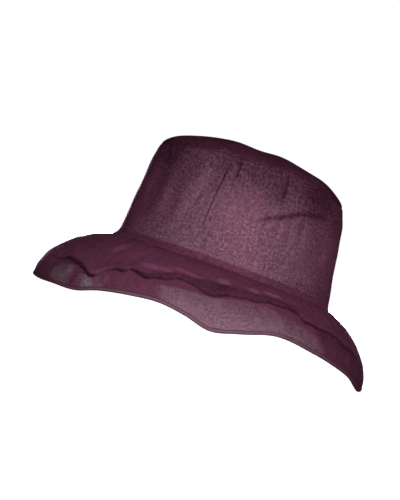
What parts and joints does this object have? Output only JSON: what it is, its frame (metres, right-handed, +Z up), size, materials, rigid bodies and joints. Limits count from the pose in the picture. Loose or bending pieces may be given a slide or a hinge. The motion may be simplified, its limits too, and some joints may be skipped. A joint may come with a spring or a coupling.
{
  "type": "beach hat",
  "caption": "Sheer plum cloth hat with a domed crown, a pleated tip seam and a soft layered brim that droops in waves and rests on its hem.",
  "frame": {"origin": "on the surface that the hat rests on, below the middle of the box round the whole hat", "axes": "+Z up, +X towards the back of the hat, -X towards the front, +Y towards the side whose edge curls up"},
  "size_m": [0.3052, 0.2966, 0.1683],
  "materials": {
    "crown_cloth": "sheer plain weave, soft sheen",
    "brim_cloth": "two sheer layers, soft sheen",
    "seam_cloth": "folded and stitched layers",
    "hem_cloth": "rolled and stitched edge"
  },
  "bodies": {
    "root": {"crown_tip": "crown_cloth", "crown_side": "crown_cloth", "tip_seam": "seam_cloth", "head_band": "seam_cloth", "brim_upper": "brim_cloth", "brim_under": "brim_cloth", "brim_hem": "hem_cloth"}
  },
  "joints": []
}
